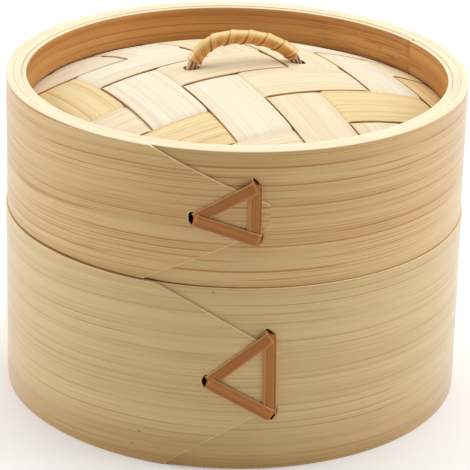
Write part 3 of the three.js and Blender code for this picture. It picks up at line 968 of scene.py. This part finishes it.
def build_weave():
    families = (
        ("warp", "weft", 4, WARP_TONES, warp_is_over),
        ("weft", "warp", 5, WEFT_TONES, lambda weft, warp: not warp_is_over(warp, weft)),
    )
    for family, other, middle, tones, is_over in families:
        for number, material in enumerate(tones, 1):
            index = number - middle
            centre = WEAVE[family + "_edge"] + WEAVE["pitch"] * (index + 0.5)
            strip = woven_strip(
                f"lid_{family}_strip_{number}_skin", family == "warp", centre, WEAVE[other + "_edge"],
                lambda cell, index=index, is_over=is_over: is_over(index, cell), material,
            )
            if abs(centre) < NEAR_HANDLE:
                cut_away(strip, leg_slots())
            placed(strip, "lid", f"lid_{family}_strip_{number}")
    for side, along_x, offset, drop in RIBS:
        rib = dome_strip(
            f"lid_rib_{side}_skin", along_x, offset, RIB_WIDTH, RIB_THICKNESS, RIB_END,
            lambda along, sideways, drop=drop: dome(along, sideways) - drop - RIB_THICKNESS / 2, [SLAT, SLAT],
        )
        placed(rib, "lid", f"lid_rib_{side}")


# ---- lacing ----


def cane(path, width, thickness, to_world, material, seed=0.0):
    """A flat cane along a path of (place, height) pairs: bends happen through its thickness.
    to_world(place, sideways, height) gives points on the piece it lies on. seed is where its grain starts."""
    path = np.asarray(path, float)
    outline, kinds = section(width, thickness, thickness * 0.42, across=4)
    rings, strip = [], []
    for point, direction, run in zip(path, directions(path), distances(path)):
        sideways = outline[:, 0] - width / 2
        arch = thickness * 0.25 * (1 - (2 * sideways / width) ** 2) * (outline[:, 1] > thickness / 2)
        depth = outline[:, 1] + arch
        place = point[0] - direction[1] * depth
        height = point[1] + direction[0] * depth
        rings.append(to_world(place, sideways, height))
        strip.append(strip_rows(run + seed, outline[:, 0] + outline[:, 1]))
    return loft("run", rings, strip, kinds, [material, LACE_EDGE])


def line_on_wall(radius, start, end):
    """The distance between two places on a cylinder, each an azimuth and a height, and the function that
    gives the points beside and above the line from one to the other."""
    a = np.array([math.radians(start[0]) * radius, start[1]])
    b = np.array([math.radians(end[0]) * radius, end[1]])
    length = np.linalg.norm(b - a)
    along = (b - a) / length
    across = np.array([-along[1], along[0]])

    def to_world(place, sideways, height):
        flat = a[:, None] + along[:, None] * place + across[:, None] * sideways
        return on_cylinder(np.degrees(flat[0] / radius), radius + height, flat[1])

    return length, to_world


def lace_run(wall, start, end, lifts, width, material, seed):
    """A cane from one hole to the next on the outside of the wall, its ends bent into the holes. lifts are
    its heights over the wall's face near each end and between them."""
    length, to_world = line_on_wall(lap_face(wall), start, end)
    first, middle, last = lifts

    def dive(angle, height):
        """A place on the bend into a hole: how far it is from the end, and its height."""
        return LACE_LEG + LACE_BEND * (1 - math.cos(angle)), height - LACE_BEND + LACE_BEND * math.sin(angle)

    bends = np.radians([30, 60, 85])
    path = [(LACE_LEG, LACE_DEPTH), (LACE_LEG, first - LACE_BEND), *[dive(t, first) for t in bends]]
    for t in np.linspace(0, 1, 15):
        near_first = (first - middle) * smooth(1 - t / 0.35)
        near_last = (last - middle) * smooth(1 - (1 - t) / 0.35)
        place = LACE_STRAIGHT + (length - 2 * LACE_STRAIGHT) * t
        path.append((place, middle + near_first + near_last))
    path += [(length - away, height) for away, height in (dive(t, last) for t in reversed(bends))]
    path += [(length - LACE_LEG, last - LACE_BEND), (length - LACE_LEG, LACE_DEPTH)]
    return cane(path, width, LACE_THICKNESS, to_world, material, seed)


def hidden_run(wall, start, end):
    """The same lacing's run behind the wall, pressed against it by the inner hoop."""
    length, to_world = line_on_wall(wall["inner"] - HIDDEN_INSET, start, end)
    path = [(t, 0.0) for t in np.linspace(-HIDDEN_OVERRUN, length + HIDDEN_OVERRUN, 9)]
    return cane(path, LACE_WIDTHS[0], HIDDEN_THICKNESS, to_world, LACE)


def build_lacing():
    under, over = 0.05, 0.05 + LACE_THICKNESS * 1.25
    for body, wall in (("basket", BASKET), ("lid", LID)):
        left, top, bottom = wall["holes"]
        pulled = (bottom[0] + wall["pull"], bottom[1])
        runs = [
            lace_run(wall, left, top, (under, under, over), LACE_WIDTHS[0], LACE, 3.0),
            lace_run(wall, top, pulled, (under, under, under), LACE_WIDTHS[1], LACE_YELLOW, 57.0),
            lace_run(wall, bottom, left, (over, 0.25, over), LACE_WIDTHS[2], LACE, 111.0),
            hidden_run(wall, left, top),
            hidden_run(wall, top, bottom),
            hidden_run(wall, bottom, left),
        ]
        placed(joined(f"{body}_lacing_skin", runs), body, f"{body}_lacing")


# ---- handle ----


def handle_to_world(points):
    """From the handle's own frame, x along the line through its feet, to the walls' frame."""
    points = np.asarray(points, float)
    c, s = math.cos(HANDLE["turn"]), math.sin(HANDLE["turn"])
    x, y, z = points[..., 0], points[..., 1], points[..., 2]
    return np.stack([c * x - s * y + HANDLE["x"], s * x + c * y + HANDLE["y"], z], axis=-1)


def smoothed(knots, step=0.4):
    """Even points (x, z) along a curve through the knots, and their distances along it."""
    knots = np.asarray(knots, float)
    run = distances(knots)
    even = np.linspace(0, run[-1], int(run[-1] / step))
    curve = np.stack([np.interp(even, run, knots[:, 0]), np.interp(even, run, knots[:, 1])], axis=-1)
    for _ in range(20):
        curve[1:-1] = (curve[:-2] + 2 * curve[1:-1] + curve[2:]) / 4
    return curve, distances(curve)


def wrap_skin():
    """A flat cane wound round the arch, each turn lapping over the edge of the turn before."""
    path, run = smoothed(HANDLE["arch"])
    total = run[-1]
    slope = directions(path)
    width, pitch = WRAP_SHAPE["width"], total / WRAP_SHAPE["winds"]
    lap = width - pitch
    outline, kinds = section(width, WRAP_SHAPE["thickness"], WRAP_SHAPE["corner"], across=10, steps=2)
    rings, strip = [], []
    first, last = -width / 2 + 0.6, total + width / 2 - 0.6
    for centre in np.arange(first, last, pitch / WRAP_SHAPE["rings_per_wind"]):
        turn = 2 * math.pi * centre / pitch + WRAP_SHAPE["start"]
        shape = outline - [width / 2, 0]
        left = WRAP_SHAPE["left_trim"] - WRAP_SHAPE["slant"] * math.cos(turn)
        place = np.clip(centre + shape[:, 0], left, total - WRAP_SHAPE["right_trim"])
        raised = WRAP_SHAPE["raised"] * np.clip(1 - (shape[:, 0] + width / 2) / (lap + 0.3), 0, 1)
        bow = WRAP_SHAPE["bow"] * (1 - (2 * shape[:, 0] / width) ** 2)
        radius = WRAP_SHAPE["inner"] + raised + bow + shape[:, 1]
        x, z = (np.interp(place, run, path[:, k]) for k in (0, 1))
        tx, tz = (np.interp(place, run, slope[:, k]) for k in (0, 1))
        out = radius * math.cos(turn)
        y = radius * math.sin(turn)
        rings.append(handle_to_world(np.stack([x - tz * out, y, z + tx * out], axis=-1)))
        strip.append(strip_rows(turn * WRAP_RUN, shape[:, 0] + shape[:, 1]))
    return loft("handle_wrap_skin", rings, strip, kinds, [WRAP, WRAP_EDGE])


def strand(offset, splay, width, seed):
    """One flat strand of the core: a hook under the dome at each end, and the arch between them."""
    foot, low, bend = HANDLE["foot"], HANDLE["hook_z"], HANDLE["hook_bend"]
    left = [(-foot, low + bend), (-foot, HANDLE["leg_top"])]
    right = [(foot, HANDLE["leg_top"]), (foot, low + bend)]
    path, _ = smoothed([*left, *HANDLE["arch"], *right])
    slope = directions(path)
    splayed = splay * np.clip((SPLAY_TOP - path[:, 1]) / SPLAY_HEIGHT, 0, 1) * (path[:, 0] < 0)
    arch = path + np.stack([-slope[:, 1], slope[:, 0]], axis=-1) * (offset + splayed)[:, None]
    hooks = []
    for side, leg in ((-1, arch[0]), (1, arch[-1])):
        centre = abs(leg[0]) - bend
        turn = [(side * (centre + bend * math.sin(t)), low + bend - bend * math.cos(t))
                for t in np.radians([0, 22, 45, 68])]
        hooks.append([(side * HANDLE["hook_end"], low), (side * (HANDLE["hook_end"] + 2), low), *turn])
    points = np.array([*hooks[0], *arch, *reversed(hooks[1])])
    outline, kinds = section(width, STRAND_THICKNESS, STRAND_THICKNESS * 0.35, across=2, steps=2)
    depth = outline[:, 1] - STRAND_THICKNESS / 2
    rings, strip = [], []
    for point, direction, run in zip(points, directions(points), distances(points)):
        x = point[0] - direction[1] * depth
        z = point[1] + direction[0] * depth
        rings.append(handle_to_world(np.stack([x, outline[:, 0] - width / 2, z], axis=-1)))
        strip.append(strip_rows(run + seed, outline[:, 0] + outline[:, 1]))
    return loft("strand", rings, strip, kinds, [CORE, CORE_EDGE])


def build_handle():
    placed(wrap_skin(), "handle", "handle_wrap")
    strands = [strand(*values) for values in STRANDS]
    placed(joined("handle_core_skin", strands), "handle", "handle_core")


build_walls()
build_floor()
build_weave()
build_lacing()
build_handle()

# ---- camera, floor and light ----

# The camera looks at a point over the middle, in millimetres, from a distance and an angle above the level.
LENS = 193.3
CAMERA_PITCH = 0.3899
CAMERA_DISTANCE = 836.2
CAMERA_ROLL = 0.0248
CAMERA_SHIFT = (0.003, -0.0253)
TARGET_HEIGHT = 51.94

# Each light's place and size in metres, and its power in watts.
LIGHT_AIM = (0, 0, 0.07)
LIGHTS = {
    "top": ((0.1, 0.25, 1.0), (1.2, 1.0), 8),
    "left": ((-1.0, 0.15, 0.4), (0.8, 0.9), 6.6),
    "right": ((1.0, 0.05, 0.4), (0.8, 0.9), 6.1),
}
WORLD_STRENGTH = 0.42
PAPER = (0.97, 0.97, 0.97, 1)


def camera():
    data = bpy.data.cameras.new("camera")
    data.sensor_width = 36
    data.lens = LENS
    data.shift_x, data.shift_y = CAMERA_SHIFT
    made = in_scene("camera", data)
    away = Vector((0, -math.cos(CAMERA_PITCH), math.sin(CAMERA_PITCH)))
    made.location = (Vector((0, AXIS_Y, TARGET_HEIGHT)) + away * CAMERA_DISTANCE) * MM
    made.rotation_mode = "QUATERNION"
    made.rotation_quaternion = (-away).to_track_quat("-Z", "Y") @ Quaternion((0, 0, 1), CAMERA_ROLL)
    bpy.context.scene.camera = made


def area_light(name, place, size, power):
    data = bpy.data.lights.new(name, "AREA")
    data.shape = "RECTANGLE"
    data.size, data.size_y = size
    data.energy = power
    made = in_scene(name, data)
    made.location = place
    made.rotation_euler = (Vector(LIGHT_AIM) - Vector(place)).to_track_quat("-Z", "Y").to_euler()


def studio():
    bpy.ops.mesh.primitive_plane_add(size=6, location=(0, 0, 0))
    floor = bpy.context.active_object
    floor.name = "floor"
    paper, _, shader = new_material("white paper")
    shader.inputs["Base Color"].default_value = PAPER
    shader.inputs["Roughness"].default_value = 0.9
    floor.data.materials.append(paper)
    world = bpy.data.worlds.new("studio")
    world.use_nodes = True
    world.node_tree.nodes["Background"].inputs["Color"].default_value = (1, 1, 1, 1)
    world.node_tree.nodes["Background"].inputs["Strength"].default_value = WORLD_STRENGTH
    bpy.context.scene.world = world
    for name, (place, size, power) in LIGHTS.items():
        area_light(name, place, size, power)
    bpy.context.scene.view_settings.view_transform = "Standard"


camera()
studio()
